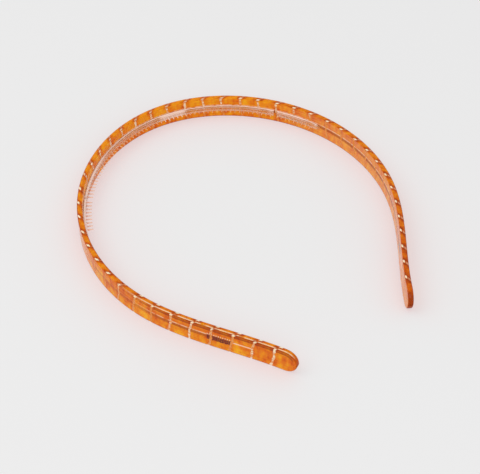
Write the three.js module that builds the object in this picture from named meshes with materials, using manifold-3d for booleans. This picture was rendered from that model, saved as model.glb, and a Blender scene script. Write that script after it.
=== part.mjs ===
// A headband: a horseshoe of laminated acetate segments on a steel core wire, with a comb glued inside.
// Millimetres, +Z up. The band lies on its lower edge with its crown towards +Y and its tips towards -Y,
// and the origin is the middle of its box, on the surface that it lies on. Left is -X.
//
// Places on the band are given by s, the arc length along the centre line from the crown (positive to
// the right), and n, the distance out from the centre line (positive away from the head).

import * as THREE from "three";
import { mergeVertices } from "three/addons/utils/BufferGeometryUtils.js";
import Module from "manifold-3d";

const wasm = await Module();
wasm.setup();

// The band.
const BAND_LENGTH = 376; // along the centre line, from tip to tip
const BAND_WIDTH = 10;
const BAND_THICKNESS = 2.2;
const EDGE_RADIUS = 0.5;

// The centre line: tightest at the crown, even round the sides, then easing through straight into
// a reversed curve, so that the tips turn outwards a little. The sides' radius follows from these.
const TIP_SPACING = 51.24; // between the centre line's two ends
const CROWN_RADIUS = 52.4;
const FLARE_RADIUS = 99; // the reversed radius at the tips
const CROWN_EASE = 26.4; // arc length over which the crown's radius eases into the sides'
const STRAIGHTENING_LENGTH = 64; // arc length over which each arm straightens and flares

// The laminated stock: each segment is an amber block with the cream sheet that is bonded to it.
const CROWN_SEGMENTS = 14; // between the two flex planes
const ARM_SEGMENTS = 16; // from a flex plane to a tip
const SEAM_SLANT = 1.05; // how far a seam runs along the band for each millimetre that it runs outwards
const FLEX_GAP = 0.8; // along the band, at each flex plane

// The core wire, and the channel that holds it.
const WIRE_DIAMETER = 1;
const WIRE_CLEARANCE = 0.15; // all round the wire and its knurled ends
const KNURL_LENGTH = 7;
const KNURL_WIDTH = 2; // across the band
const KNURL_THICKNESS = 0.8;
const KNURL_RIDGES = 8;
const KNURL_RIDGE_HEIGHT = 0.25;
const KNURL_SEGMENT = 4; // counted from the tip
const CHANNEL_TAIL = 6; // empty channel past the segment that holds the knurled end

// The comb.
const COMB_STRIP_WIDTH = 2.6;
const COMB_STRIP_THICKNESS = 0.9;
const COMB_GLUE_LINE = 0.1; // between the strip and the band's inner face
const COMB_GAP = 1.6; // between the strips, at each flex plane
const COMB_END_LENGTH = 21; // of each of the two short strips
const COMB_MARGIN = 0.8; // from a strip's end to its first tooth's middle, at a flex plane
const COMB_RUN_OUT = 4; // bare strip past the last tooth, at the comb's outer ends
const TOOTH_PITCH = 2.05;
const TOOTH_LENGTH = 2.4;
const TOOTH_ROOT_RADIUS = 0.45;
const TOOTH_TIP_RADIUS = 0.22;

// Worked out from the driving dimensions.
const HALF_LENGTH = BAND_LENGTH / 2;
const MID_WIDTH = BAND_WIDTH / 2;
const INNER_FACE = -BAND_THICKNESS / 2;
const SEGMENT_COUNT = CROWN_SEGMENTS + 2 * ARM_SEGMENTS;
const SEGMENT_PITCH = BAND_LENGTH / SEGMENT_COUNT;
const FLEX_PLANE = (CROWN_SEGMENTS / 2) * SEGMENT_PITCH;
const COMB_OUTER_FACE = INNER_FACE - COMB_GLUE_LINE;
const COMB_INNER_FACE = COMB_OUTER_FACE - COMB_STRIP_THICKNESS;

// How finely the curved pieces are faceted.
const LINE_STEP = 0.25;
const RADIUS_TOLERANCE = 1e-4;
const FACET_LENGTH = SEGMENT_PITCH / 2;
const CORNER_FACETS = 2;
const WIRE_SIDES = 8;
const TOOTH_SIDES = 5;
const TIP_FACETS = 16;
const OVERRUN = 6; // how far cutting shapes and the centre line run past the band

const MATERIALS = {
  amber: new THREE.MeshStandardMaterial({ color: 0xdc7f1c, roughness: 0.15, metalness: 0 }),
  steel: new THREE.MeshStandardMaterial({ color: 0x9c9490, roughness: 0.35, metalness: 1 }),
  comb: new THREE.MeshStandardMaterial({ color: 0xe9cfc6, roughness: 0.2, metalness: 0 }),
};

// --- The centre line ---

/** How much the centre line turns for each millimetre at the arc length s from the crown. */
function curvature(s, sideRadius) {
  const side = 1 / sideRadius;
  const crownExtra = (1 / CROWN_RADIUS - side) * Math.exp(-((s / CROWN_EASE) ** 2));
  const straightening = Math.max(0, 1 - (HALF_LENGTH - s) / STRAIGHTENING_LENGTH);
  return side + crownExtra - straightening * (side + 1 / FLARE_RADIUS);
}

/** The right half of the centre line, walked from the crown in equal short steps to the arc length end. */
function walkHalfLine(sideRadius, end) {
  const stations = [{ x: 0, y: 0, turn: 0 }];
  for (let s = LINE_STEP / 2; s < end; s += LINE_STEP) {
    const last = stations.at(-1);
    const turn = last.turn + curvature(s, sideRadius) * LINE_STEP;
    const middle = (last.turn + turn) / 2;
    const x = last.x + Math.cos(middle) * LINE_STEP;
    const y = last.y - Math.sin(middle) * LINE_STEP;
    stations.push({ x, y, turn });
  }
  return stations;
}

/** The sides' radius that leaves the tips TIP_SPACING apart, by halving the range that it lies in. */
function fitSideRadius() {
  let low = HALF_LENGTH / 4;
  let high = HALF_LENGTH;
  while (high - low > RADIUS_TOLERANCE) {
    const middle = (low + high) / 2;
    const tip = walkHalfLine(middle, HALF_LENGTH).at(-1);
    if (tip.x < TIP_SPACING / 2) low = middle;
    else high = middle;
  }
  return high;
}

const HALF_LINE = walkHalfLine(fitSideRadius(), HALF_LENGTH + OVERRUN);

/** The centre line's place and turn at s. The left half mirrors the right one. */
function stationAt(s) {
  const side = s < 0 ? -1 : 1;
  const steps = Math.abs(s) / LINE_STEP;
  const index = Math.min(Math.floor(steps), HALF_LINE.length - 2);
  const a = HALF_LINE[index];
  const b = HALF_LINE[index + 1];
  const share = steps - index;
  return {
    x: side * THREE.MathUtils.lerp(a.x, b.x, share),
    y: THREE.MathUtils.lerp(a.y, b.y, share),
    turn: side * THREE.MathUtils.lerp(a.turn, b.turn, share),
  };
}

/** The unit vectors along the band and out of it where it has turned by turn. */
function directions(turn) {
  return {
    along: new THREE.Vector3(Math.cos(turn), -Math.sin(turn), 0),
    out: new THREE.Vector3(Math.sin(turn), Math.cos(turn), 0),
  };
}

/** A stretch of the centre line at mid-width, as a curve whose frames always face out of the band. */
class BandLine extends THREE.Curve {
  constructor(from, to) {
    super();
    this.from = from;
    this.to = to;
  }

  station(t) {
    return stationAt(THREE.MathUtils.lerp(this.from, this.to, t));
  }

  getPoint(t, target = new THREE.Vector3()) {
    const { x, y } = this.station(t);
    return target.set(x, y, MID_WIDTH);
  }

  /** The curve's parameter is already in proportion to its length. */
  getPointAt(u, target) {
    return this.getPoint(u, target);
  }

  computeFrenetFrames(segments) {
    const frames = { tangents: [], normals: [], binormals: [] };
    for (let i = 0; i <= segments; i++) {
      const { along, out } = directions(this.station(i / segments).turn);
      frames.tangents.push(along);
      frames.normals.push(out);
      frames.binormals.push(new THREE.Vector3(0, 0, 1));
    }
    return frames;
  }
}

// --- Solids ---

/** A closed geometry as a solid that can be joined and cut. */
function solidOf(geometry) {
  const bare = geometry.clone();
  bare.deleteAttribute("normal");
  bare.deleteAttribute("uv");
  const merged = mergeVertices(bare, 1e-4);
  return new wasm.Manifold(
    new wasm.Mesh({
      numProp: 3,
      vertProperties: merged.attributes.position.array,
      triVerts: new Uint32Array(merged.index.array),
    }),
  );
}

/** A named mesh of a solid. */
function meshOf(name, solid, material) {
  const { numProp, vertProperties, triVerts, numVert } = solid.getMesh();
  const positions = new Float32Array(numVert * 3);
  for (let i = 0; i < numVert; i++) {
    positions.set(vertProperties.subarray(i * numProp, i * numProp + 3), i * 3);
  }
  const indexed = new THREE.BufferGeometry();
  indexed.setAttribute("position", new THREE.BufferAttribute(positions, 3));
  indexed.setIndex(new THREE.BufferAttribute(triVerts, 1));
  const geometry = indexed.toNonIndexed();
  geometry.computeVertexNormals();
  const mesh = new THREE.Mesh(geometry, material);
  mesh.name = name;
  return mesh;
}

/** A section, x out of the band and y across its width, carried along the band from one s to another. */
function sweep(section, from, to, arcFacets = 2) {
  const steps = Math.max(1, Math.ceil((to - from) / FACET_LENGTH - 1e-6));
  const extrudePath = new BandLine(from, to);
  const curveSegments = arcFacets / 2; // an arc is drawn with twice this many facets
  return solidOf(new THREE.ExtrudeGeometry(section, { steps, extrudePath, curveSegments }));
}

/** Sets a geometry, drawn with x along the band, y across its width and z into it, at s and n. */
function placed(geometry, s, n = 0) {
  const { x, y, turn } = stationAt(s);
  const { along, out } = directions(turn);
  const place = new THREE.Matrix4().makeBasis(along, new THREE.Vector3(0, 0, 1), out.clone().negate());
  place.setPosition(x + out.x * n, y + out.y * n, MID_WIDTH);
  return geometry.clone().applyMatrix4(place);
}

/** A shape, x along the band and y across its width, made depth thick about the centre line at s. */
function slab(shape, depth, s, arcFacets = 2) {
  const curveSegments = arcFacets / 2;
  const geometry = new THREE.ExtrudeGeometry(shape, { depth, bevelEnabled: false, curveSegments });
  geometry.translate(0, 0, -depth / 2);
  return solidOf(placed(geometry, s));
}

function rectangle(x0, y0, x1, y1) {
  return new THREE.Shape([
    new THREE.Vector2(x0, y0),
    new THREE.Vector2(x1, y0),
    new THREE.Vector2(x1, y1),
    new THREE.Vector2(x0, y1),
  ]);
}

function disc(radius) {
  return new THREE.Shape().absarc(0, 0, radius, 0, 2 * Math.PI, false);
}

// --- The band ---

function bandSection() {
  const x = BAND_THICKNESS / 2 - EDGE_RADIUS;
  const y = BAND_WIDTH / 2 - EDGE_RADIUS;
  const quarter = Math.PI / 2;
  const section = new THREE.Shape();
  section.absarc(x, y, EDGE_RADIUS, 0, quarter, false);
  section.absarc(-x, y, EDGE_RADIUS, quarter, 2 * quarter, false);
  section.absarc(-x, -y, EDGE_RADIUS, 2 * quarter, 3 * quarter, false);
  section.absarc(x, -y, EDGE_RADIUS, 3 * quarter, 4 * quarter, false);
  section.closePath();
  return section;
}

/** The outline, seen square on, that rounds a tip off to a half circle. side is 1 on the right. */
function tipOutline(side) {
  const radius = BAND_WIDTH / 2;
  const outline = new THREE.Shape();
  outline.moveTo(-side * 2 * OVERRUN, radius + 1);
  outline.lineTo(-side * 2 * OVERRUN, -radius - 1);
  outline.lineTo(-side * radius, -radius - 1);
  outline.lineTo(-side * radius, -radius);
  outline.absarc(-side * radius, 0, radius, -Math.PI / 2, Math.PI / 2, side < 0);
  outline.lineTo(-side * radius, radius + 1);
  outline.closePath();
  return outline;
}

/** The s of the middle of the knurled end on one side. */
function knurlMiddle(side) {
  return side * (HALF_LENGTH - (KNURL_SEGMENT - 0.5) * SEGMENT_PITCH);
}

/** The channel for the wire: wider round its knurled ends, and running a little past them. */
function channel() {
  const end = HALF_LENGTH - (KNURL_SEGMENT - 1) * SEGMENT_PITCH + CHANNEL_TAIL;
  const bore = sweep(disc(WIRE_DIAMETER / 2 + WIRE_CLEARANCE), -end, end, WIRE_SIDES);
  const x = KNURL_LENGTH / 2 + WIRE_CLEARANCE;
  const y = KNURL_WIDTH / 2 + WIRE_CLEARANCE;
  const depth = KNURL_THICKNESS + 2 * WIRE_CLEARANCE;
  const pocket = (side) => slab(rectangle(-x, -y, x, y), depth, knurlMiddle(side));
  return bore.add(pocket(-1)).add(pocket(1));
}

/** The plan of a seam: where its slanting line crosses the centre line, and which way it runs. */
function seam(s) {
  const { x, y, turn } = stationAt(s);
  const { along, out } = directions(turn);
  const run = along.multiplyScalar(SEAM_SLANT).add(out);
  const end = (n) => new THREE.Vector2(x + run.x * n, y + run.y * n);
  return { inner: end(-BAND_THICKNESS), outer: end(BAND_THICKNESS) };
}

/** The upright wedge between two seams, taller and thicker than the band. */
function wedge(from, to) {
  const start = seam(from);
  const end = seam(to);
  const plan = new THREE.Shape([start.inner, end.inner, end.outer, start.outer]);
  const depth = BAND_WIDTH + 2 * OVERRUN;
  const geometry = new THREE.ExtrudeGeometry(plan, { depth, bevelEnabled: false });
  geometry.translate(0, 0, -OVERRUN);
  return solidOf(geometry);
}

/** The segments of the laminated stock, cut apart at their seams, from the left tip to the right one. */
function segments() {
  const blank = sweep(bandSection(), -HALF_LENGTH, HALF_LENGTH, CORNER_FACETS).subtract(channel());
  const tipDepth = 4 * BAND_THICKNESS;
  const meshes = [];
  for (let i = 0; i < SEGMENT_COUNT; i++) {
    const place = segmentPlace(i);
    let solid = blank.intersect(wedge(place.from, place.to));
    if (place.tipSide) {
      const tip = slab(tipOutline(place.tipSide), tipDepth, place.tipSide * HALF_LENGTH, TIP_FACETS);
      solid = solid.intersect(tip);
    }
    meshes.push(meshOf(place.name, solid, MATERIALS.amber));
  }
  return meshes;
}

/** A segment's name, its two seams, and which tip it ends at, if it ends at one. */
function segmentPlace(index) {
  const inLeftArm = index < ARM_SEGMENTS;
  const inRightArm = index >= ARM_SEGMENTS + CROWN_SEGMENTS;
  const fromTip = inLeftArm ? index + 1 : SEGMENT_COUNT - index;
  const inCrown = index - ARM_SEGMENTS + 1;
  const number = String(inLeftArm || inRightArm ? fromTip : inCrown).padStart(2, "0");
  const section = inLeftArm ? "left" : inRightArm ? "right" : "crown";
  const tipSide = fromTip > 1 ? 0 : inLeftArm ? -1 : 1;

  const seamAt = (i) => -HALF_LENGTH + i * SEGMENT_PITCH;
  const flexSeams = [ARM_SEGMENTS, ARM_SEGMENTS + CROWN_SEGMENTS];
  const room = (i) => (flexSeams.includes(i) ? FLEX_GAP / 2 : 0);
  const from = seamAt(index) + room(index) - (tipSide < 0 ? OVERRUN / 2 : 0);
  const to = seamAt(index + 1) - room(index + 1) + (tipSide > 0 ? OVERRUN / 2 : 0);
  return { name: `${section}_segment_${number}`, from, to, tipSide };
}

// --- The core wire ---

/** The flattened end of the wire, with ridges along both its edges that bite into the acetate. */
function knurl(side) {
  const ridge = KNURL_LENGTH / KNURL_RIDGES;
  const crest = KNURL_WIDTH / 2;
  const outline = [];
  for (const edge of [-1, 1]) {
    for (let i = 0; i <= 2 * KNURL_RIDGES; i++) {
      const x = -edge * (i * (ridge / 2) - KNURL_LENGTH / 2);
      outline.push(new THREE.Vector2(x, edge * (i % 2 ? crest : crest - KNURL_RIDGE_HEIGHT)));
    }
  }
  return slab(new THREE.Shape(outline), KNURL_THICKNESS, knurlMiddle(side));
}

function wire(from, to) {
  return sweep(disc(WIRE_DIAMETER / 2), from, to, WIRE_SIDES);
}

function armWire(side) {
  const ends = [side * (FLEX_PLANE + FLEX_GAP / 2), knurlMiddle(side)].sort((a, b) => a - b);
  return wire(...ends).add(knurl(side));
}

// --- The comb ---

function tooth(s) {
  const length = TOOTH_LENGTH + COMB_STRIP_THICKNESS / 2;
  const geometry = new THREE.CylinderGeometry(TOOTH_TIP_RADIUS, TOOTH_ROOT_RADIUS, length, TOOTH_SIDES);
  geometry.rotateX(Math.PI / 2); // the narrow end now points along +z, into the hoop
  const middle = COMB_INNER_FACE - TOOTH_LENGTH + length / 2;
  return solidOf(placed(geometry, s, middle));
}

/** A strip of comb from one s to another, with teeth from first to last at a pitch that fits. */
function combStrip(from, to, first, last) {
  const half = COMB_STRIP_WIDTH / 2;
  let solid = sweep(rectangle(COMB_INNER_FACE, -half, COMB_OUTER_FACE, half), from, to);
  const gaps = Math.round((last - first) / TOOTH_PITCH);
  for (let i = 0; i <= gaps; i++) {
    solid = solid.add(tooth(THREE.MathUtils.lerp(first, last, i / gaps)));
  }
  return solid;
}

/** The three strips. The gaps between them follow the seams of the flex planes to the inner face. */
function comb() {
  const gapMiddle = (side) => side * FLEX_PLANE + SEAM_SLANT * (INNER_FACE - COMB_STRIP_THICKNESS / 2);
  const leftInner = gapMiddle(-1) + COMB_GAP / 2;
  const rightInner = gapMiddle(1) - COMB_GAP / 2;
  const leftOuter = gapMiddle(-1) - COMB_GAP / 2;
  const rightOuter = gapMiddle(1) + COMB_GAP / 2;
  const leftEnd = leftOuter - COMB_END_LENGTH;
  const rightEnd = rightOuter + COMB_END_LENGTH;
  const middle = combStrip(leftInner, rightInner, leftInner + COMB_MARGIN, rightInner - COMB_MARGIN);
  const left = combStrip(leftEnd, leftOuter, leftEnd + COMB_RUN_OUT, leftOuter - COMB_MARGIN);
  const right = combStrip(rightOuter, rightEnd, rightOuter + COMB_MARGIN, rightEnd - COMB_RUN_OUT);
  return [
    meshOf("comb_middle", middle, MATERIALS.comb),
    meshOf("comb_left", left, MATERIALS.comb),
    meshOf("comb_right", right, MATERIALS.comb),
  ];
}

// --- The assembly ---

const pieces = new THREE.Group();
const crownWireEnd = FLEX_PLANE - FLEX_GAP / 2;
pieces.add(
  ...segments(),
  meshOf("crown_core_wire", wire(-crownWireEnd, crownWireEnd), MATERIALS.steel),
  meshOf("left_core_wire", armWire(-1), MATERIALS.steel),
  meshOf("right_core_wire", armWire(1), MATERIALS.steel),
  ...comb(),
);

// The crown's centre line starts at the origin: the pieces move so that the middle of their box is there.
const box = new THREE.Box3().setFromObject(pieces);
pieces.position.y = -(box.min.y + box.max.y) / 2;

const headband = new THREE.Group();
headband.add(pieces);

export default headband;
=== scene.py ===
"""A headband of laminated amber acetate: a horseshoe on a core wire, with a clear comb inside its crown.

Sizes are in millimetres until a mesh is made. A place on the band is given by three numbers: s, the
arc length along the centre line from the crown, positive to the right; n, the distance out from the
centre line, positive away from the head; and q, the height above the middle of the band's width.
"""

import logging
import math
from dataclasses import dataclass, field
from enum import Enum
from typing import Any

import bmesh
import bpy
import numpy as np
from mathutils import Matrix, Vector

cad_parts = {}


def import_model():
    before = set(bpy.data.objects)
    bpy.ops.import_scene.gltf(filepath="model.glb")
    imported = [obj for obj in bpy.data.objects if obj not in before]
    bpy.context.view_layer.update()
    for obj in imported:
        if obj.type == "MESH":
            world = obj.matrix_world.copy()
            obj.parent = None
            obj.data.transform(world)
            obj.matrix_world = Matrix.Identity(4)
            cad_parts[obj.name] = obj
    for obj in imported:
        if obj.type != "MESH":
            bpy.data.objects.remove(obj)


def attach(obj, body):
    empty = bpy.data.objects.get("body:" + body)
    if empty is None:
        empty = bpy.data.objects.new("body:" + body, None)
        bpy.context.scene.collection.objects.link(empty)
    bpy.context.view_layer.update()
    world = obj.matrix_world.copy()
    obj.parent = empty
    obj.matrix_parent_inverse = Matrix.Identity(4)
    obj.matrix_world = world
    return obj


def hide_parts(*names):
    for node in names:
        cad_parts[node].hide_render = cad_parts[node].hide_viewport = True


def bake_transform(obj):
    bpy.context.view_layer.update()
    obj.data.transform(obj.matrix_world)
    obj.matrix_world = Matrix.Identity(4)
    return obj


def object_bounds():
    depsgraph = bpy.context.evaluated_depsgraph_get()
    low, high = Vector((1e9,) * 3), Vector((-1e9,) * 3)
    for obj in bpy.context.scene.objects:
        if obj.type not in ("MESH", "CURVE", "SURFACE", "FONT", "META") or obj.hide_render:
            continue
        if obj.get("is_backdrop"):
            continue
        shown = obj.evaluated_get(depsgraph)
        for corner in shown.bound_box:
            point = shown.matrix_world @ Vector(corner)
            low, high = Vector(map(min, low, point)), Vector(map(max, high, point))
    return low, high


LOG = logging.getLogger("headband")
MM = 0.001
MERGE_DISTANCE = 1e-7  # in metres: points as near as this are one point
SHARP_ANGLE = math.radians(70)  # faces that meet at more than this have a crisp edge between them
Colour = tuple[float, float, float]
Stretch = tuple[float, float]  # where something starts to show, and where it shows fully


class Side(Enum):
    """The two halves of the band, with the sign that s takes on each."""

    LEFT = -1
    RIGHT = 1

    @property
    def word(self) -> str:
        """The half's name as it stands in the names of pieces and bodies."""
        return self.name.lower()


# --- Shader maths ---


def linear(red: int, green: int, blue: int) -> Colour:
    """Turns a display colour, from 0 to 255, into the linear colour that shaders take.

    The display's curve is a straight line in the darkest tones and a power above them.
    """
    share = np.array([red, green, blue]) / 255
    low = share <= 0.04045
    return tuple(np.where(low, share / 12.92, ((share + 0.055) / 1.055) ** 2.4).tolist())


class NodeGraph:
    """One material's nodes, added by expressions on signals."""

    def __init__(self, name: str) -> None:
        """Starts an empty material.

        Args:
            name: the material's name.
        """
        self.material = bpy.data.materials.new(name)
        self.material.use_nodes = True
        self.tree = self.material.node_tree
        self.tree.nodes.clear()

    def add(self, kind: str, settings: dict[str, Any], values: dict[Any, Any]) -> bpy.types.Node:
        """Adds a node of any type.

        Args:
            kind: the node's type.
            settings: what is set before its sockets, with a ramp's stops as (place, colour) pairs.
            values: a value, a signal or a socket for each input, by its name or number.

        Returns:
            The node.
        """
        node = self.tree.nodes.new(kind)
        for key, value in settings.items():
            if key == "stops":
                self.set_stops(node.color_ramp, value)
            else:
                setattr(node, key, value)
        for key, value in values.items():
            self.feed(node.inputs[key], value)
        return node

    def set_stops(self, ramp: bpy.types.ColorRamp, stops: list[tuple[float, Colour]]) -> None:
        """Gives a colour ramp, which comes with two stops, the place and the colour of each."""
        while len(ramp.elements) < len(stops):
            ramp.elements.new(1.0)
        for element, (place, colour) in zip(ramp.elements, stops):
            element.position = place
            element.color = (*colour, 1.0)

    def feed(self, socket: bpy.types.NodeSocket, value: Any) -> None:
        """Links a signal or a socket to an input, or sets a number or a colour on it."""
        if isinstance(value, Signal):
            self.tree.links.new(value.socket, socket)
        elif isinstance(value, bpy.types.NodeSocket):
            self.tree.links.new(value, socket)
        elif isinstance(value, tuple) and len(value) == 3 and socket.type == "RGBA":
            socket.default_value = (*value, 1.0)
        else:
            socket.default_value = value

    def attribute(self, name: str) -> bpy.types.Node:
        """Reads an attribute of the piece's own mesh."""
        return self.add("ShaderNodeAttribute", {"attribute_type": "GEOMETRY", "attribute_name": name}, {})

    def place(self) -> "Place":
        """The three numbers that say where on the band a point lies."""
        parts = self.add("ShaderNodeSeparateXYZ", {}, {0: self.attribute("place").outputs["Vector"]})
        return Place(*(Signal(self, parts.outputs[i]) for i in range(3)))

    def number(self, name: str) -> "Signal":
        """Reads a number from the piece's own mesh."""
        return Signal(self, self.attribute(name).outputs["Fac"])

    def vector(self, x: Any, y: Any, z: Any) -> bpy.types.NodeSocket:
        """Joins three signals or numbers into a vector."""
        return self.add("ShaderNodeCombineXYZ", {}, {0: x, 1: y, 2: z}).outputs[0]

    def noise(self, vector: Any, detail: float = 2.0, scale: float = 1.0) -> "Signal":
        """Smooth noise from about 0.2 to 0.8, with its middle at 0.5."""
        values = {"Vector": vector, "Scale": scale, "Detail": detail}
        return Signal(self, self.add("ShaderNodeTexNoise", {}, values).outputs["Fac"])

    def random(self, number: "Signal") -> "Signal":
        """A random number from 0 to 1 for each whole number."""
        settings = {"noise_dimensions": "1D"}
        return Signal(self, self.add("ShaderNodeTexWhiteNoise", settings, {"W": number}).outputs["Value"])

    def ramp(self, factor: Any, stops: list[tuple[float, Colour]]) -> bpy.types.NodeSocket:
        """The colour that a ramp of stops has at a factor from 0 to 1."""
        return self.add("ShaderNodeValToRGB", {"stops": stops}, {"Fac": factor}).outputs["Color"]

    def mix(self, factor: Any, first: Any, second: Any) -> bpy.types.NodeSocket:
        """Mixes two colours, from the first at 0 to the second at 1."""
        settings = {"data_type": "RGBA", "blend_type": "MIX", "clamp_factor": True}
        return self.add("ShaderNodeMix", settings, {0: factor, 6: first, 7: second}).outputs[2]

    def bump(self, height: "Signal", distance: float, strength: float) -> bpy.types.NodeSocket:
        """Turns a height from 0 to 1 into a normal, with that many metres from low to high."""
        values = {"Height": height, "Distance": distance, "Strength": strength}
        return self.add("ShaderNodeBump", {}, values).outputs["Normal"]

    def finish(self, values: dict[str, Any]) -> bpy.types.Material:
        """Ends the material in a Principled shader. Sockets that aren't named keep their usual values."""
        shader = self.add("ShaderNodeBsdfPrincipled", {}, values)
        self.add("ShaderNodeOutputMaterial", {}, {"Surface": shader.outputs[0]})
        return self.material


class Signal:
    """A number that varies over a surface. Arithmetic on it adds Math nodes."""

    def __init__(self, graph: NodeGraph, socket: bpy.types.NodeSocket) -> None:
        """Wraps the output socket that carries the number."""
        self.graph = graph
        self.socket = socket

    def math(self, operation: str, *others: Any) -> "Signal":
        """Adds a Math node with this number first, and gives its result."""
        values = dict(enumerate((self, *others)))
        node = self.graph.add("ShaderNodeMath", {"operation": operation}, values)
        return Signal(self.graph, node.outputs[0])

    def __add__(self, other: Any) -> "Signal":
        """The sum."""
        return self.math("ADD", other)

    __radd__ = __add__

    def __mul__(self, other: Any) -> "Signal":
        """The product."""
        return self.math("MULTIPLY", other)

    __rmul__ = __mul__

    def __sub__(self, other: Any) -> "Signal":
        """The difference."""
        return self.math("SUBTRACT", other)

    def __rsub__(self, other: Any) -> "Signal":
        """The difference, with this number taken off."""
        return (self * -1) + other

    def __abs__(self) -> "Signal":
        """The size without the sign."""
        return self.math("ABSOLUTE")

    def floor(self) -> "Signal":
        """The whole number below."""
        return self.math("FLOOR")

    def sine(self) -> "Signal":
        """The sine of this number of radians."""
        return self.math("SINE")

    def beyond(self, limit: float) -> "Signal":
        """How far this number is above a limit, or 0 below it."""
        return (self - limit).math("MAXIMUM", 0.0)

    def hypotenuse(self, other: "Signal") -> "Signal":
        """The length of the slope that rises by this number over the other."""
        return (self * self + other * other).math("SQRT")

    def rise(self, low: float, high: float) -> "Signal":
        """A smooth step: 3 times the square of the share of the way, less 2 times its cube.

        Args:
            low: where the step starts.
            high: where it ends. It may be the lower number of the two.

        Returns:
            0 up to low and 1 from high on.
        """
        settings = {"interpolation_type": "SMOOTHSTEP", "clamp": True}
        ends = {1: min(low, high), 2: max(low, high), 3: float(low > high), 4: float(low < high)}
        node = self.graph.add("ShaderNodeMapRange", settings, {0: self, **ends})
        return Signal(self.graph, node.outputs[0])

    def near(self, middle: float, half: float, soft: float) -> "Signal":
        """1 within half of a middle value, falling to 0 over soft."""
        return abs(self - middle).rise(half + soft, half)


@dataclass(frozen=True)
class Place:
    """Where on the band a shaded point lies, as three signals in millimetres."""

    s: Signal
    n: Signal
    q: Signal

    @property
    def graph(self) -> NodeGraph:
        """The nodes that the signals belong to."""
        return self.s.graph

    @property
    def length(self) -> Signal:
        """The distance from the crown, along either arm."""
        return abs(self.s)

    def outside(self) -> Signal:
        """1 on the outer face, 0 on the inner one."""
        return self.n.rise(-0.3, 0.3)

    def noise(self, s: Any, n: Any, q: Any, detail: float = 2.0) -> Signal:
        """Smooth noise over the place, with each of its numbers times a scale or moved already."""
        return self.graph.noise(self.graph.vector(s, n, q), detail)

    def dots(self) -> Signal:
        """Where a sheet's cream shows at the band's edge, placed and brightened as a painted highlight: a
        dot by each corner, brightest on each arm's left.

        Returns:
            1 in the middle of a strong dot, and 0 between the dots.
        """
        # Along the middle of the left arm the strong dot is the outer one, and at its tip the corner's.
        left_side = self.s.near(-84.0, 26.0, 16.0)
        left_tip = self.s.rise(-105.0, -120.0)
        crown = self.length.rise(44.0, 26.0)
        inner = self.n.near(-0.7, 0.18, 0.24) * (1 - left_side) * (1 - crown * 0.45)
        outer = self.n.near(0.45, 0.3, 0.25) * (left_side * 0.8 + 0.2) * (1 - left_tip)
        return inner + outer + self.n.rise(0.65, 0.85) * left_tip * 0.9


# --- The centre line ---


@dataclass
class CentreLine:
    """The band's centre line, and the frame that it carries across the band."""

    crown_y: float
    mid_height: float = 5.0
    half_length: float = 188.0
    crown_radius: float = 52.4
    side_radius: float = 69.0
    flare_radius: float = 99.0
    crown_ease: float = 26.4
    straightening_length: float = 64.0
    step: float = 0.25
    overrun: float = 2.0

    def __post_init__(self) -> None:
        """Walks the right half: its turn is the sum of its curvature, and its place the sum of its turns."""
        middles = np.arange(self.step / 2, self.half_length + self.overrun, self.step)
        self.turns = np.concatenate([[0.0], np.cumsum(self.curvature(middles) * self.step)])
        headings = (self.turns[:-1] + self.turns[1:]) / 2
        self.xs = np.concatenate([[0.0], np.cumsum(np.cos(headings) * self.step)])
        self.ys = np.concatenate([[0.0], -np.cumsum(np.sin(headings) * self.step)])
        self.lengths = np.arange(self.turns.size) * self.step

    def curvature(self, s: np.ndarray) -> np.ndarray:
        """The line's curvature: the sides', with a bell of more at the crown, falling to the tips' flare.

        Args:
            s: arc lengths from the crown, none of them negative.

        Returns:
            The turn for each millimetre at each of them.
        """
        side = 1 / self.side_radius
        crown = (1 / self.crown_radius - side) * np.exp(-((s / self.crown_ease) ** 2))
        share = np.maximum(0, 1 - (self.half_length - s) / self.straightening_length)
        return side + crown - share * (side + 1 / self.flare_radius)

    def turn(self, s: np.ndarray) -> np.ndarray:
        """How far the line has turned at s, in radians."""
        return np.sign(s) * np.interp(np.abs(s), self.lengths, self.turns)

    def points(self, place: np.ndarray) -> np.ndarray:
        """Turns places into points.

        Args:
            place: s, n and q along the last axis.

        Returns:
            The line's point at s, moved n along the outward direction and q upwards.
        """
        s, n, q = np.moveaxis(place, -1, 0)
        turn = self.turn(s)
        x = np.sign(s) * np.interp(np.abs(s), self.lengths, self.xs) + np.sin(turn) * n
        y = self.crown_y + np.interp(np.abs(s), self.lengths, self.ys) + np.cos(turn) * n
        return np.stack([x, y, self.mid_height + q], axis=-1)


@dataclass(frozen=True)
class Lamination:
    """The seams of the laminated stock: one for each pitch along the band, slanting and a little wavy."""

    pitch: float = 376 / 46  # the band's length shared among its blocks
    slant: float = 1.05
    lean: float = 0.13
    wave: float = 0.2
    ripple: float = 0.09
    last_seam: int = 22

    def shift(self, s: np.ndarray, n: np.ndarray, q: np.ndarray) -> np.ndarray:
        """How far a seam is moved along the band: its slant across n, its lean across q, and two waves."""
        wave = self.wave * np.sin(0.75 * q + 0.29 * s) + self.ripple * np.sin(1.9 * q - 0.47 * s + 1.3 * n)
        return self.slant * n - self.lean * q + wave

    def count(self, s: np.ndarray, n: np.ndarray, q: np.ndarray) -> np.ndarray:
        """The number of seams passed since the crown, which is whole on a seam."""
        return (s - self.shift(s, n, q)) / self.pitch


# --- Meshes ---


@dataclass
class Shape:
    """Places on the band, and the four-sided faces that join them."""

    place: np.ndarray
    faces: np.ndarray

    @classmethod
    def joined(cls, shapes: list["Shape"]) -> "Shape":
        """Joins shapes into one, in which each is still a closed body."""
        starts = np.cumsum([0] + [len(shape.place) for shape in shapes[:-1]])
        faces = [shape.faces + start for shape, start in zip(shapes, starts)]
        return cls(np.concatenate([shape.place for shape in shapes]), np.concatenate(faces))


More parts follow.
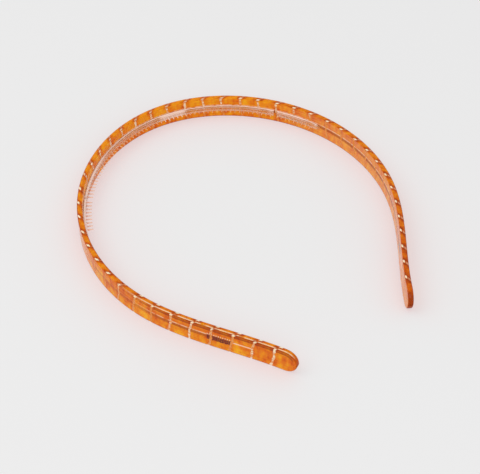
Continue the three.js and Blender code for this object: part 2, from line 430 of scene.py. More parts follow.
@dataclass(frozen=True)
class Section:
    """A rectangular section with rounded corners, as a closed ring of points."""

    width: float
    thickness: float
    corner: float
    face_steps: int = 12
    corner_steps: int = 4

    def ring(self) -> tuple[np.ndarray, np.ndarray, np.ndarray]:
        """The ring, out across the outer face, over the top edge, back on the inner face and under.

        Returns:
            For each point, its share of the way across from -1 to 1, how far it stands beyond the
            flat of the face, with the sign of its edge, and its n from the section's middle. An edge
            is two quarter circles of the corner's radius with a flat between them.
        """
        flat = self.thickness / 2 - self.corner
        angle = np.linspace(0, math.pi / 2, self.corner_steps + 1)[1:]
        beyond = self.corner * np.sin(angle)
        out = flat + self.corner * np.cos(angle)
        edge_beyond = np.concatenate([beyond, beyond[::-1]])
        edge_out = np.concatenate([out, -out[::-1]])
        face = np.linspace(-1, 1, self.face_steps + 1)
        ones = np.ones_like(edge_out)
        share = np.concatenate([face, ones, face[::-1], -ones])
        proud = np.concatenate([0 * face, edge_beyond, 0 * face, -edge_beyond])
        height = np.full_like(face, self.thickness / 2)
        return share, proud, np.concatenate([height, edge_out, -height, -edge_out])

    def cap(self) -> np.ndarray:
        """Closes the ring with strips, each from two points to their mirrors on the other face."""
        face, edge = self.face_steps + 1, 2 * self.corner_steps
        half = edge // 2
        total = 2 * (face + edge)
        outer = np.concatenate([np.arange(total - half, total), np.arange(face + half)])
        inner = np.arange(total - half - 1, face + half - 1, -1)
        return np.stack([outer[:-1], outer[1:], inner[1:], inner[:-1]], axis=-1)

    def sweep(self, place: np.ndarray, capped: bool = True) -> Shape:
        """Joins rings of this section into a tube.

        Args:
            place: the rings' places, with the rings along the first axis.
            capped: whether both ends are closed with caps.
        """
        rings, points = place.shape[:2]
        faces = [grid_faces(rings, points)]
        if capped:
            faces += [self.cap(), self.cap()[:, ::-1] + (rings - 1) * points]
        return Shape(place.reshape(-1, 3), np.concatenate(faces))


def grid_faces(rows: int, columns: int) -> np.ndarray:
    """Joins the points of a grid whose last column meets its first into four-sided faces."""
    index = np.arange(rows * columns).reshape(rows, columns)
    after = np.roll(index, -1, axis=1)
    return np.stack([index[:-1], after[:-1], after[1:], index[1:]], axis=-1).reshape(-1, 4)


@dataclass
class Workshop:
    """What every sub-assembly is made with: the centre line, the lamination and the flex pivots."""

    line: CentreLine
    lamination: Lamination
    flex_s: float = 57.217
    flex_zone: float = 18.0

    def piece(self, name: str, shape: Shape, material: bpy.types.Material) -> bpy.types.Object:
        """Makes an object of a shape, with its places as attributes that the materials read.

        Args:
            name: the piece's name.
            shape: its places and faces. Points that fall together are merged.
            material: its finish.

        Returns:
            The object, at the origin, with its faces outwards.
        """
        s, n, q = shape.place.T
        mesh = bpy.data.meshes.new(name)
        mesh.from_pydata((self.line.points(shape.place) * MM).tolist(), [], shape.faces.tolist())
        mesh.attributes.new("place", "FLOAT_VECTOR", "POINT").data.foreach_set("vector", shape.place.ravel())
        seams = self.lamination.count(s, n, q)
        mesh.attributes.new("seams", "FLOAT", "POINT").data.foreach_set("value", seams)
        self.tidy(mesh)
        mesh.materials.append(material)
        piece = bpy.data.objects.new(name, mesh)
        bpy.context.scene.collection.objects.link(piece)
        LOG.info("%s: %d faces", name, len(mesh.polygons))
        return piece

    def tidy(self, mesh: bpy.types.Mesh) -> None:
        """Merges the points of a pole, drops the faces that closed up, and turns the rest outwards.

        Last it marks the mesh's crisp edges.
        """
        work = bmesh.new()
        work.from_mesh(mesh)
        bmesh.ops.remove_doubles(work, verts=work.verts, dist=MERGE_DISTANCE)
        bmesh.ops.dissolve_degenerate(work, edges=work.edges, dist=MERGE_DISTANCE / 10)
        bmesh.ops.recalc_face_normals(work, faces=work.faces)
        work.to_mesh(mesh)
        work.free()
        mesh.shade_smooth()
        mesh.set_sharp_from_angle(angle=SHARP_ANGLE)

    def flex(self, piece: bpy.types.Object, side: Side) -> None:
        """Works out the ends of a flex zone round the pivot on one side, which nothing uses, and bakes the
        piece's placement into its mesh.
        """
        turn = float(self.line.turn(np.array(self.flex_s * side.value)))
        pivot = self.line.points(np.array([self.flex_s * side.value, 0.0, 0.0]))
        along = side.value * np.array([math.cos(turn), -math.sin(turn), 0.0])
        start = (pivot - along * self.flex_zone) * MM
        end = (pivot + along * self.flex_zone) * MM
        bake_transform(piece)


# --- Finishes ---


@dataclass(frozen=True)
class AmberAcetate:
    """Clear amber acetate, golden where light comes through it and redder at its seams and edges.

    The core wire, its knurled end and the empty channel past it show through the faces, a little
    above the middle, as they do when the band is looked at from above.
    """

    yellow: Colour = linear(246, 172, 24)
    golden: Colour = linear(238, 146, 18)
    orange: Colour = linear(226, 112, 14)
    seam: Colour = linear(204, 84, 10)
    painted_sheen: Colour = linear(240, 186, 144)
    edge_dark: Colour = linear(160, 60, 4)
    edge_orange: Colour = linear(204, 92, 4)
    edge_golden: Colour = linear(234, 144, 14)
    painted_shade_line: Colour = linear(140, 46, 6)
    painted_highlight: Colour = linear(255, 220, 176)
    wire: Colour = linear(150, 62, 22)
    painted_core_highlight: Colour = linear(255, 214, 178)
    knurl: Colour = linear(104, 34, 34)
    tip_start: float = 183.0
    crown: Stretch = (75.0, 45.0)
    left_arm: Stretch = (-70.0, -100.0)
    lit_arm: Stretch = (-108.0, -138.0)
    left_tip: Stretch = (-105.0, -150.0)
    edge: Stretch = (4.45, 4.9)
    corner: Stretch = (4.5, 4.72)
    corner_side: Stretch = (0.72, 0.92)
    wire_end: Stretch = (153.8, 153.2)
    wire_height: float = 0.35
    painted_highlight_height: float = 1.25
    knurl_middle: float = 157.6
    knurl_half: float = 4.7
    ridge_pitch: float = 0.875
    tail_middle: float = 166.4
    tail_half: float = 4.1

    def material(self, pitch: float) -> bpy.types.Material:
        """Builds the finish for seams that lie one pitch apart."""
        graph = NodeGraph("amber_acetate")
        place = graph.place()
        seams = graph.number("seams")
        block = seams.floor()
        to_seam = (0.5 - abs(seams - block - 0.5)) * pitch
        across = place.length.beyond(self.tip_start).hypotenuse(place.q)
        streaks = place.noise(place.s * 0.09 + block * 5.7, place.n * 1.3, place.q * 2.4, 3.0)
        face = self.face(place, block, to_seam, streaks)
        edge = self.edge_tone(place, to_seam, streaks)
        colour = graph.mix(across.rise(*self.edge), face, edge)
        colour = self.core_wire(place, colour)
        colour = self.knurled_end(place, colour)
        # Painted highlight and painted shade lines along the corners.
        colour = self.painted_corner_lines(place, across, colour)
        polish = graph.noise(graph.vector(place.s * 0.5, place.n, place.q), 2.0, 1.6)
        values = {
            "Base Color": colour,
            "Roughness": polish * 0.1 + 0.05,
            "IOR": 1.48,
            "Specular IOR Level": 0.08,
            "Subsurface Weight": 0.12,
            "Subsurface Radius": (1.0, 0.35, 0.05),
            "Subsurface Scale": 0.001,
            "Coat Weight": 0.08,
            "Coat Roughness": 0.03,
            "Normal": graph.bump(polish, 0.00004, 0.4),
        }
        return graph.finish(values)

    def face(self, place: Place, block: Signal, to_seam: Signal, streaks: Signal) -> bpy.types.NodeSocket:
        """Colours the faces: bands across each block and fine streaks along it, redder near a seam.

        Inside the arms they are paler and pinker: a painted sheen of reflected light.

        Args:
            place: where the shaded point lies.
            block: the number of the block that it is in.
            to_seam: how far it is from the nearest seam, in millimetres.
            streaks: the streaks' noise.
        """
        graph = place.graph
        bands = place.noise(place.s * 0.5 + block * 3.1, place.n * 0.6, place.q * 0.22, 3.0)
        crown = place.length.rise(*self.crown)
        inside_arm = place.n.rise(0.3, -0.3) * (1 - crown)
        # Inside the arms the tone is raised, as part of the painted sheen.
        level = to_seam.rise(0.2, 2.6) * (0.25 - inside_arm * 0.2) + inside_arm * 0.14
        level = level + (bands - 0.5) * 1.7 + (streaks - 0.5) * 0.7
        level = level + graph.random(block) * 0.16 + place.q * (crown * 0.055 - 0.035) + crown * 0.04 + 0.22
        stops = [(0.0, self.seam), (0.3, self.orange), (0.68, self.golden), (1.0, self.yellow)]
        # The painted sheen's share inside the arms.
        pale = inside_arm * (place.length.rise(55.0, 110.0) * 0.14 + streaks * 0.2)
        return graph.mix(pale, graph.ramp(level, stops), self.painted_sheen)

    def edge_tone(self, place: Place, to_seam: Signal, streaks: Signal) -> bpy.types.NodeSocket:
        """Colours the narrow edges: golden in the middle of a block, deep brown beside its seams.

        The amber's share of the painted highlight dots at the seams is in it too.
        """
        patches = place.noise(place.s * 0.6, place.n * 0.5, 0.0)
        level = to_seam.rise(0.5, 3.0) * 0.6 + (patches - 0.5) * 1.2 + (streaks - 0.5) * 0.6
        level = level + 0.16 + place.length.rise(75.0, 25.0) * 0.22 - place.s.rise(110.0, 186.0) * 0.35
        stops = [(0.0, self.edge_dark), (0.45, self.edge_orange), (1.0, self.edge_golden)]
        before_tip = place.length.rise(self.tip_start + 1, self.tip_start)
        # Painted highlight dots at the seams, by the corners.
        shine = place.dots() * to_seam.rise(0.85, 0.55) * before_tip
        return place.graph.mix(shine * 0.85, place.graph.ramp(level, stops), self.painted_highlight)

    def painted_corner_lines(self, place: Place, across: Signal, colour: Any) -> bpy.types.NodeSocket:
        """Draws the lines along the corners: a painted highlight where the round of the edge gathers light,
        and painted shade where it loses it.

        The left arm's upper outer corner has a painted highlight line, and painted shade lines run
        elsewhere. Across is how far the point is from the middle of the width, measured round the tips too.
        """
        graph = place.graph
        corner = across.rise(*self.corner)
        left_arm, lit_arm = place.s.rise(*self.left_arm), place.s.rise(*self.lit_arm)
        left_tip = place.s.rise(*self.left_tip)
        outer, inner = place.n.rise(*self.corner_side), (place.n * -1).rise(*self.corner_side)
        upper = place.q.rise(0.0, 2.5) * place.s.rise(-187.4, -185.4)
        # A painted shade line along the lower corner.
        under = place.q.rise(-4.35, -4.65) * 0.6
        # Where the painted highlight line runs, a painted shade line runs below it on the face, and at the
        # tip on the corner.
        below = across.near(4.0, 0.35, 0.3) * place.n.rise(0.6, 0.9) * lit_arm * upper
        below = below + corner * place.n.rise(0.5, 0.8) * left_tip * upper
        # Painted shade lines below the highlight, along the left arm's inner corners and along the lower
        # corner.
        colour = graph.mix(below * 0.65 + corner * inner * left_arm * 0.8 + under, colour, self.painted_shade_line)
        # Painted shade lines along the outer corners beyond the left arm.
        colour = graph.mix(outer * corner * (1 - left_arm) * 0.7, colour, self.painted_shade_line)
        # The painted highlight line leaves the corner for the middle of the edge on its way to the tip.
        broken = place.noise(place.s * 0.35, place.q * 0.3, 0.0).rise(0.3, 0.5)
        shine = (place.n + left_tip * 0.5).near(0.95, 0.14, 0.16)
        return graph.mix(shine * corner * lit_arm * broken * upper * 0.75, colour, self.painted_highlight)

    def core_wire(self, place: Place, colour: Any) -> bpy.types.NodeSocket:
        """Draws what shows through of the wire: a dark line, with a painted highlight line above it.

        Both are faint where the left arm turns away from the crown.
        """
        on_wire = place.length.rise(*self.wire_end)
        broken = place.noise(place.s * 0.4, place.n, 0.0).rise(0.32, 0.55)
        quiet = place.s.near(-94.0, 24.0, 22.0) * place.outside()
        # The painted highlight line along the top of the wire.
        light = place.q.near(self.painted_highlight_height, 0.15, 0.35) * on_wire * broken * (0.7 - quiet * 0.62)
        shade = place.q.near(self.wire_height, 0.5, 0.5) * on_wire * (0.62 - quiet * 0.3)
        return place.graph.mix(shade, place.graph.mix(light, colour, self.painted_core_highlight), self.wire)

    def knurled_end(self, place: Place, colour: Any) -> bpy.types.NodeSocket:
        """Draws what shows through of the wire's ridged end, and of the empty channel past it.

        It is a ragged dark mark with a row of painted highlight beads on its ridges, and then a painted
        highlight line along the empty channel.
        """
        graph = place.graph
        ridges = (place.s * (2 * math.pi / self.ridge_pitch)).sine()
        on_knurl = place.length.near(self.knurl_middle, self.knurl_half, 0.4)
        blotch = place.noise(place.s * 1.3, 0.0, place.q * 1.4, 3.0)
        ragged = place.q + (blotch - 0.5) * 1.8
        dark = ragged.near(0.1, 1.0, 0.45) * on_knurl * (0.45 + blotch * 0.8 + ridges * 0.08)
        colour = graph.mix(dark, colour, self.knurl)
        # Painted highlight beads on the ridges.
        beads = place.q.near(1.7, 0.12, 0.35) * on_knurl * ridges.rise(-0.4, 0.5) * 0.85
        colour = graph.mix(beads, colour, self.painted_core_highlight)
        # A painted highlight line along the empty channel.
        tail = place.q.near(0.75, 0.15, 0.3) * place.length.near(self.tail_middle, self.tail_half, 0.5)
        return graph.mix(tail * 0.85, colour, self.painted_core_highlight)


@dataclass(frozen=True)
class CreamAcetate:
    """The thin cream sheets between the amber blocks, broken into beads where amber has run over them."""

    cream: Colour = linear(255, 236, 200)
    pink: Colour = linear(248, 198, 160)
    stained: Colour = linear(230, 130, 26)
    deep: Colour = linear(196, 90, 8)
    crown: Stretch = (80.0, 55.0)
    edge: Stretch = (4.35, 4.6)

    def material(self) -> bpy.types.Material:
        """Builds the finish: beads on the faces, and dots on the edges, where the cream is a painted
        highlight.
        """
        graph = NodeGraph("cream_acetate")
        place = graph.place()
        number = (graph.number("seams") + 0.5).floor()
        soft = place.noise(place.s * 2.5, place.n * 2.0, place.q * 2.5)
        light = graph.mix(soft.rise(0.35, 0.65), self.cream, self.pink)
        colour = graph.mix(self.shown(place, number), self.stained, light)
        # On the edges the sheet is deep orange, with painted highlight dots of its cream.
        edge = graph.mix(place.dots(), self.deep, self.cream)
        colour = graph.mix(abs(place.q).rise(*self.edge), colour, edge)
        values = {
            "Base Color": colour,
            "Roughness": soft * 0.12 + 0.08,
            "IOR": 1.48,
            "Specular IOR Level": 0.2,
            "Subsurface Weight": 0.2,
            "Subsurface Radius": (1.0, 0.6, 0.3),
            "Subsurface Scale": 0.0008,
            "Coat Weight": 0.15,
            "Coat Roughness": 0.03,
        }
        return graph.finish(values)

    def shown(self, place: Place, number: Signal) -> Signal:
        """How much of a sheet shows on the faces, where the amber hasn't run over it.

        It is most near the crown's upper edge, and on the arms' outer faces it drifts from sheet to
        sheet, by the sheet's number as counted from the crown.
        """
        beads = place.noise(number * 3.7, place.n * 0.8, place.q * 1.3).rise(0.6, 0.42)
        crown = place.length.rise(*self.crown)
        drift = (number * 1.7 + 0.6).sine().rise(-0.7, 0.9)
        at_crown = place.q.rise(-3.0, 3.0) * 0.8 + 0.1
        quiet = place.s.near(-102.0, 24.0, 12.0)
        outside = place.outside()
        on_arm = (drift * 0.8 + 0.12) * outside * (1 - quiet * 0.7) + (0.14 - outside * 0.11)
        return (at_crown * crown + on_arm * (1 - crown)) * (0.2 + beads * 0.95)


@dataclass(frozen=True)
class ClearComb:
    """Water-clear comb plastic that takes up the amber behind it, with painted reflections where it faces
    the light.
    """

    clear: Colour = linear(255, 238, 230)
    tinted: Colour = linear(252, 190, 96)
    tooth: Colour = linear(255, 206, 160)
    root: Colour = linear(236, 142, 78)
    line: Colour = linear(176, 96, 50)
    # Where the painted reflection patch lies along the strip.
    shine_middle: float = 8.5
    shine_half: float = 4.5
    shine_soft: float = 3.0

    def material(self) -> bpy.types.Material:
        """Builds the finish: pale stretches of painted reflection, pale lines of painted highlight along the
        strip, and redder roots of the teeth.

        It is clearest away from the painted reflections.
        """
        graph = NodeGraph("clear_comb")
        place = graph.place()
        cloud = place.noise(place.s * 0.16, place.n, place.q * 1.2, 3.0)
        # A painted reflection patch on the strip and its teeth, and more painted reflection in the pale
        # stretches.
        shine = place.s.near(self.shine_middle, self.shine_half, self.shine_soft)
        pale = shine + place.s.near(61.0, 7.0, 3.0) * 0.4 + place.s.rise(-30.0, -42.0)
        # The strip's inner face lies at n = -2.1: front is 1 on it, and on_tooth past it.
        front, on_tooth = place.n.rise(-1.85, -2.05), place.n.rise(-2.02, -2.2)
        upper = place.q.rise(1.0, 1.2) * (1 - on_tooth)
        # Painted highlight lines on the strip's top face, its front and its lower part, and the painted
        # reflection.
        light = upper * (1 - front) + place.q.near(0.7, 0.15, 0.2) * front * (1 - on_tooth) * 0.8
        light = light + place.q.rise(-1.0, -1.2) * (1 - on_tooth) * 0.8 + pale * (1 - on_tooth)
        strip = graph.mix(light, graph.mix(cloud.rise(0.3, 0.6), self.clear, self.tinted), self.clear)
        strip = graph.mix(upper * front * (1 - pale * 0.8) * 0.8, strip, self.line)
        tooth = graph.mix(place.n.rise(-2.2, -3.4), self.root, self.tooth)
        painted_tooth_reflection = shine * on_tooth * 0.8
        values = {
            "Base Color": graph.mix(on_tooth, strip, graph.mix(painted_tooth_reflection, tooth, self.clear)),
            "Roughness": cloud * 0.1 + 0.04,
            "IOR": 1.49,
            "Specular IOR Level": 0.25,
            "Alpha": 0.18 + light * 0.66 + upper * front * 0.5 + on_tooth * 0.22 + painted_tooth_reflection * 0.3,
            "Coat Weight": 0.2,
            "Coat Roughness": 0.03,
        }
        return graph.finish(values)


@dataclass(frozen=True)
class DrawnSteel:
    """The core wire's steel, with faint drawing lines along it."""

    bright: Colour = linear(176, 166, 160)
    dull: Colour = linear(126, 112, 104)

    def material(self) -> bpy.types.Material:
        """Builds the finish: two greys and two roughnesses by noise stretched along the wire."""
        graph = NodeGraph("core_steel")
        place = graph.place()
        lines = place.noise(place.s * 0.3, place.n * 9, place.q * 9)
        values = {
            "Base Color": graph.mix(lines, self.bright, self.dull),
            "Metallic": 1.0,
            "Roughness": lines * 0.3 + 0.2,
            "Normal": graph.bump(lines, 0.00002, 0.5),
        }
        return graph.finish(values)


@dataclass(frozen=True)
class PaleCard:
    """The plain pale sheet that the headband lies on."""

    tone: Colour = (0.3, 0.3, 0.3)
    light: Colour = (0.536, 0.534, 0.535)
    painted_amber_glow: Colour = (0.57, 0.475, 0.482)
    painted_glow_reach: float = 0.035
    painted_glow_strength: float = 2.4
    grain_scale: float = 900.0

    def material(self) -> bpy.types.Material:
        """Builds the finish: matt, with a faint even glow like a light table's, and a painted pink glow
        beside the amber.

        The painted pink glow stands for light from the amber, so it follows how far the band closes it in.
        """
        graph = NodeGraph("pale_card")
        place = graph.add("ShaderNodeTexCoord", {}, {}).outputs["Object"]
        grain = graph.noise(place, scale=self.grain_scale)
        # The painted glow grows where the band closes the floor in.
        openness = graph.add("ShaderNodeAmbientOcclusion", {"samples": 8}, {"Distance": self.painted_glow_reach})
        shade = 1 - Signal(graph, openness.outputs["AO"])
        values = {
            "Base Color": self.tone,
            "Roughness": grain * 0.1 + 0.7,
            "Specular IOR Level": 0.0,
            "Emission Color": graph.mix(shade * self.painted_glow_strength, self.light, self.painted_amber_glow),
            "Emission Strength": 1.0,
        }
        return graph.finish(values)


# --- Sub-assemblies ---


@dataclass
class LaminatedBand:
    """The band: amber blocks with cream sheets between them, polished as one."""

    shop: Workshop
    width: float = 10.0
    thickness: float = 2.2
    corner: float = 0.5
    station_step: float = 0.75
    tip_stations: int = 14
    sheet_thickness: float = 0.85
    sheet_unevenness: float = 0.22
    sheet_proud: float = 0.012
    seam_passes: int = 3
    crown_segments: int = 14
    arm_segments: int = 16
    amber: AmberAcetate = field(default_factory=AmberAcetate)
    cream: CreamAcetate = field(default_factory=CreamAcetate)

    def build(self) -> None:
        """Makes both halves of the band and all their cream sheets."""
        amber = self.amber.material(self.shop.lamination.pitch)
        cream = self.cream.material()
        for side in Side:
            band = self.shop.piece(f"{side.word}_amber", self.amber_half(side), amber)
            half = self.crown_segments // 2
            first = 1 if side is Side.LEFT else 1 + half
            crown = [f"crown_segment_{i:02d}" for i in range(first, first + half)]
            arm = [f"{side.word}_segment_{i:02d}" for i in range(1, self.arm_segments + 1)]
            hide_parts(*crown, *arm)
            self.shop.flex(band, side)
            numbers = side.value * np.arange(1, self.shop.lamination.last_seam + 1)
            sheets = self.shop.piece(f"{side.word}_cream_sheets", self.sheets(numbers), cream)
            self.shop.flex(sheets, side)
        middle = self.shop.piece("middle_cream_sheet", self.sheets(np.array([0])), cream)
        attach(middle, "crown")

    def amber_half(self, side: Side) -> Shape:
        """Half of the band, from the middle seam to a tip.

        The section's ring is carried along s. Past the start of the tip the flat of the face narrows
        as the cosine of an angle and runs on as its sine, and the rounded edge turns with the angle,
        so that the tip is a half circle with the same edge. The first ring lies in the middle seam.
        """
        section = Section(self.width, self.thickness, self.corner)
        share, proud, out = section.ring()
        radius = self.width / 2
        flat = radius - self.corner
        tip_start = self.shop.line.half_length - radius
        straight = np.linspace(0, tip_start, int(tip_start / self.station_step) + 1)
        angle = np.linspace(0, math.pi / 2, self.tip_stations + 1)[1:]
        s = np.concatenate([straight, tip_start + flat * np.sin(angle)])[:, None]
        angle = np.concatenate([0 * straight, angle])[:, None]
        s = side.value * (s + np.abs(proud) * np.sin(angle))
        q = share * flat * np.cos(angle) + proud * np.cos(angle)
        n = np.broadcast_to(out, q.shape)
        ease = np.maximum(0, 1 - np.abs(s) / self.shop.lamination.pitch)
        s = s + ease * self.shop.lamination.shift(s, n, q)
        return section.sweep(np.stack([s, n, q], axis=-1))

    def sheets(self, numbers: np.ndarray) -> Shape:
        """The cream sheets of some seams, whose numbers are counted from the crown.

        Each is two rings of the band's section, grown by a hair, that follow the seam half the
        sheet's uneven thickness to either side, with a cap on each. The waves of a seam depend on
        where it lies, so its place is worked out again from itself a few times.
        """
        grow = 2 * self.sheet_proud
        section = Section(self.width + grow, self.thickness + grow, self.corner + self.sheet_proud)
        share, proud, out = section.ring()
        q = share * (self.width / 2 - self.corner) + proud
        lamination = self.shop.lamination
        shapes = []
        for number in numbers:
            seam = number * lamination.pitch
            for _ in range(self.seam_passes):
                seam = number * lamination.pitch + lamination.shift(seam, out, q)
            uneven = self.sheet_unevenness * np.sin(1.7 * q + 2.3 * number + 2 * out)
            half = (self.sheet_thickness / 2) * np.array([[-1.0], [1.0]]) * (1 + uneven)
            s = seam + half
            place = np.stack([s, np.broadcast_to(out, s.shape), np.broadcast_to(q, s.shape)], axis=-1)
            shapes.append(section.sweep(place))
        return Shape.joined(shapes)


@dataclass
class CoreWire:
    """The steel wire inside the band, with a flattened and ridged end in each arm."""

    shop: Workshop
    radius: float = 0.5
    knurl_middle: float = 158.4
    knurl_length: float = 8.6
    knurl_half_width: float = 1.0
    knurl_half_thickness: float = 0.4
    knurl_ease: float = 1.5
    knurl_squareness: float = 0.55
    ridge_pitch: float = 0.875
    ridge_height: float = 0.25
    ridge_stations: int = 4
    station_step: float = 1.0
    ring_points: int = 16
    steel: DrawnSteel = field(default_factory=DrawnSteel)

    def build(self) -> None:
        """Makes both halves of the wire."""
        steel = self.steel.material()
        for side in Side:
            wire = self.shop.piece(f"{side.word}_wire", self.half(side), steel)
            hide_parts(f"{side.word}_core_wire", "crown_core_wire")
            self.shop.flex(wire, side)

    def half(self, side: Side) -> Shape:
        """Half of the wire: an ellipse carried along s, whose two radii ease into the knurled end's.

        Along the knurled end the radius across the band swings between crest and root, and the
        ellipse grows squarer. The first and last rings close to a point.
        """
        start = self.knurl_middle - self.knurl_length / 2
        end = start + self.knurl_length
        ease_start = start - self.knurl_ease
        plain = np.arange(0, ease_start, self.station_step)
        ridged = np.arange(ease_start, end, self.ridge_pitch / self.ridge_stations)
        s = np.concatenate([[0.0], plain, ridged, [end, end]])
        knurled = np.clip((s - start + self.knurl_ease) / self.knurl_ease, 0, 1)
        knurled = knurled * knurled * (3 - 2 * knurled)
        swing = self.ridge_height * (0.5 - 0.5 * np.cos(2 * math.pi * (s - start) / self.ridge_pitch))
        across = self.radius + knurled * (self.knurl_half_width - self.radius - swing * (s > start))
        through = self.radius + knurled * (self.knurl_half_thickness - self.radius)
        across[[0, -1]] = 0
        through[[0, -1]] = 0
        angle = np.linspace(0, 2 * math.pi, self.ring_points, endpoint=False)
        power = 1 - self.knurl_squareness * knurled[:, None]
        cosine, sine = np.cos(angle), np.sin(angle)
        q = across[:, None] * np.sign(cosine) * np.abs(cosine) ** power
        n = through[:, None] * np.sign(sine) * np.abs(sine) ** power
        place = np.stack([np.broadcast_to(side.value * s[:, None], q.shape), n, q], axis=-1)
        return Shape(place.reshape(-1, 3), grid_faces(len(s), self.ring_points))


@dataclass
class Comb:
    """The clear comb: a strip glued inside the crown, a short one on each arm, and their teeth."""

    shop: Workshop
    strip_width: float = 2.6
    strip_thickness: float = 0.9
    strip_corner: float = 0.22
    strip_end: float = 0.45  # the share of its section that a strip's thinned end keeps
    station_step: float = 0.75
    outer_face: float = -1.2
    gap: float = 1.6
    gap_shift: float = -1.63  # how far the flex planes' slant moves both gaps along the band
    end_length: float = 21.0
    margin: float = 0.8
    run_out: float = 4.0
    tooth_pitch: float = 2.05
    tooth_length: float = 2.4
    tooth_root: float = 0.38
    tooth_oval: float = 1.15
    tooth_sides: int = 8
    clear: ClearComb = field(default_factory=ClearComb)

    def build(self) -> None:
        """Makes the three strips, the middle one in two halves, one for each arm."""
        clear = self.clear.material()
        for side in Side:
            flex = side.value * self.shop.flex_s + self.gap_shift
            inner = flex - side.value * self.gap / 2
            outer = flex + side.value * self.gap / 2
            tip = outer + side.value * self.end_length
            teeth = self.teeth_between(0.0, inner - side.value * self.margin, skip_first=side is Side.LEFT)
            half = Shape.joined([self.strip(0.0, inner, 0.0), self.teeth(teeth)])
            middle = self.shop.piece(f"{side.word}_middle_comb", half, clear)
            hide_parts("comb_middle")
            last = tip - side.value * self.run_out
            teeth = self.teeth_between(outer + side.value * self.margin, last)
            short = Shape.joined([self.strip(outer, tip, self.run_out), self.teeth(teeth)])
            end = self.shop.piece(f"{side.word}_end_comb", short, clear)
            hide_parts(f"comb_{side.word}")
            for piece in (middle, end):
                self.shop.flex(piece, side)

    def teeth_between(self, first: float, last: float, skip_first: bool = False) -> np.ndarray:
        """The s of each tooth from first to last, at the nearest pitch that fits."""
        count = round(abs(last - first) / self.tooth_pitch) + 1
        return np.linspace(first, last, count)[int(skip_first) :]

    def strip(self, start: float, end: float, taper: float) -> Shape:
        """A strip of the comb, along the band's inner face.

        The rounded section is scaled by a share that falls from 1 as a quarter ellipse where the
        strip thins, and its outer face stays against the glue.

        Args:
            start: the s of its full end.
            end: the s of its other end.
            taper: the length over which it thins towards that other end, or 0.
        """
        section = Section(self.strip_width, self.strip_thickness, self.strip_corner, 4, 3)
        share, proud, out = section.ring()
        steps = max(4, int(abs(end - start) / self.station_step))
        s = np.linspace(start, end, steps + 1)
        left = np.abs(end - s)[:, None]
        size = 1 + 0 * left
        if taper:
            fullness = np.sqrt(1 - np.clip(1 - left / taper, 0, 1) ** 2)
            size = self.strip_end + (1 - self.strip_end) * fullness
        q = size * (share * (self.strip_width / 2 - self.strip_corner) + proud)
        n = self.outer_face + size * (out - self.strip_thickness / 2)
        place = np.stack([np.broadcast_to(s[:, None], q.shape), n, q], axis=-1)
        return section.sweep(place)

    def teeth(self, middles: np.ndarray) -> Shape:
        """Round tapering teeth, each a turned profile that starts inside the strip and points inwards.

        A tooth's radius falls along its length and closes in a rounded point.
        """
        length = np.array([-0.3, -0.3, 0.0, 0.3, 0.9, 1.6, 2.15, 2.34, 2.4]) * (self.tooth_length / 2.4)
        radius = np.array([0.0, 1.0, 1.0, 0.86, 0.74, 0.62, 0.5, 0.3, 0.0]) * self.tooth_root
        angle = np.linspace(0, 2 * math.pi, self.tooth_sides, endpoint=False)
        s = middles[:, None, None] + radius[:, None] * np.cos(angle)
        q = np.broadcast_to(radius[:, None] * np.sin(angle) * self.tooth_oval, s.shape)
        inner_face = self.outer_face - self.strip_thickness
        n = np.broadcast_to(inner_face - length[:, None], s.shape)
        place = np.stack([s, n, q], axis=-1)
        faces = grid_faces(len(length), self.tooth_sides)
        starts = np.arange(len(middles)) * len(length) * self.tooth_sides
        return Shape(place.reshape(-1, 3), (faces + starts[:, None, None]).reshape(-1, 4))


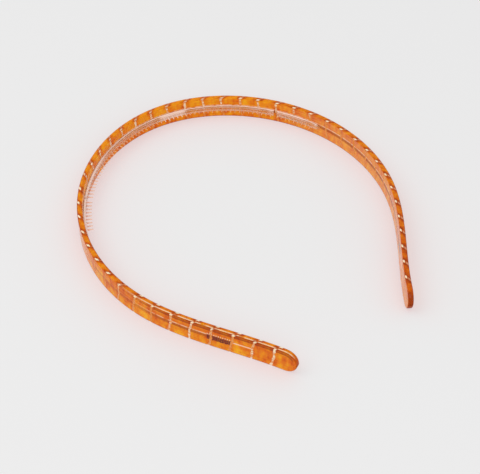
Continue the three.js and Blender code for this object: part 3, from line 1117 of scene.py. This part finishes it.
@dataclass
class Studio:
    """The pale floor, the soft lights and the camera."""

    target: tuple[float, float, float] = (-0.00515, -0.00407, 0.0)
    azimuth: float = -33.40
    elevation: float = 45.60
    distance: float = 0.4907
    lens: float = 92.73
    nearest: float = 0.01
    card_size: float = 6.0
    surround: Colour = (0.75, 0.75, 0.75)
    card: PaleCard = field(default_factory=PaleCard)

    def build(self) -> None:
        """Sets up the floor, the lights and the camera."""
        self.floor()
        self.sky()
        self.softbox("high_softbox", place=(-0.5, 0.25, 0.8), size=0.6, power=2.0)
        self.softbox("low_softbox", place=(-0.25, -0.6, 0.5), size=0.4, power=1.0)
        self.camera()

    def floor(self) -> None:
        """A wide flat card under the object."""
        bpy.ops.mesh.primitive_plane_add(size=self.card_size)
        floor = bpy.context.object
        floor.name = "floor"
        floor.data.materials.append(self.card.material())
        floor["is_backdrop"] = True

    def sky(self) -> None:
        """An even pale surround."""
        world = bpy.data.worlds.new("surround")
        world.use_nodes = True
        background = world.node_tree.nodes["Background"]
        background.inputs["Color"].default_value = (*self.surround, 1.0)
        background.inputs["Strength"].default_value = 1.0
        bpy.context.scene.world = world
        bpy.context.scene.view_settings.view_transform = "Standard"

    def softbox(self, name: str, place: tuple[float, float, float], size: float, power: float) -> None:
        """A square softbox that faces the object.

        Args:
            name: its name.
            place: where it stands, in metres.
            size: the length of its side, in metres.
            power: its power, in watts.
        """
        light = bpy.data.lights.new(name, "AREA")
        light.size = size
        light.energy = power
        lamp = bpy.data.objects.new(name, light)
        lamp.location = place
        lamp.rotation_euler = (-Vector(place)).to_track_quat("-Z", "Y").to_euler()
        bpy.context.scene.collection.objects.link(lamp)

    def camera(self) -> None:
        """The camera, at an azimuth and an elevation round its target."""
        azimuth, elevation = math.radians(self.azimuth), math.radians(self.elevation)
        flat = math.cos(elevation)
        back = Vector((math.sin(azimuth) * flat, -math.cos(azimuth) * flat, math.sin(elevation)))
        data = bpy.data.cameras.new("camera")
        data.lens = self.lens
        data.clip_start = self.nearest
        camera = bpy.data.objects.new("camera", data)
        camera.location = Vector(self.target) + back * self.distance
        camera.rotation_euler = back.to_track_quat("Z", "Y").to_euler()
        bpy.context.scene.collection.objects.link(camera)
        bpy.context.scene.camera = camera


def main() -> None:
    """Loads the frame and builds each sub-assembly around it."""
    logging.basicConfig(level=logging.INFO, format="%(name)s: %(message)s")
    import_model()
    cad_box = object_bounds()
    crown_y = cad_box[1].y / MM - LaminatedBand.thickness / 2
    shop = Workshop(CentreLine(crown_y), Lamination())
    LaminatedBand(shop).build()
    CoreWire(shop).build()
    Comb(shop).build()
    Studio().build()


if __name__ == "__main__":
    main()
